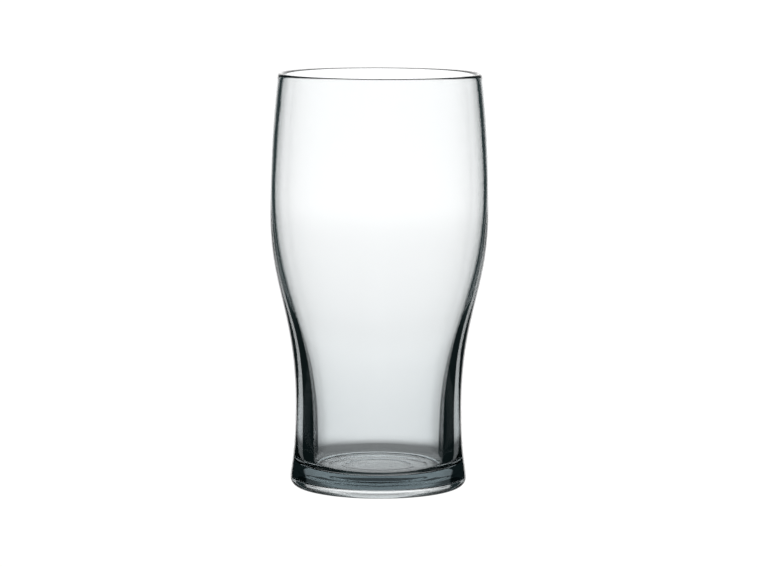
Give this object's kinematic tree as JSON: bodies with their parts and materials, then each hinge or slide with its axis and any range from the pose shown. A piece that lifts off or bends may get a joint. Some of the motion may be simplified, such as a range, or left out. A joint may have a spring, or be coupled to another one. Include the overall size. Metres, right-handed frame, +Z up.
{
  "type": "pint glass",
  "caption": "Tulip-shaped beer glass in clear glass, with a thick foot, a narrow waist, a wide shoulder and a rounded lip.",
  "frame": {"origin": "on the table, under the centre of the foot", "axes": "+Z up along the glass's own axis, from the foot to the lip; the glass is a solid of revolution, so +X and +Y are any two level directions"},
  "size_m": [0.0842, 0.0842, 0.16],
  "materials": {
    "clear_glass": "fire-polished, clear, with a faint blue-green grey tint where it is thick"
  },
  "bodies": {
    "root": {"glass": "clear_glass"}
  },
  "joints": []
}
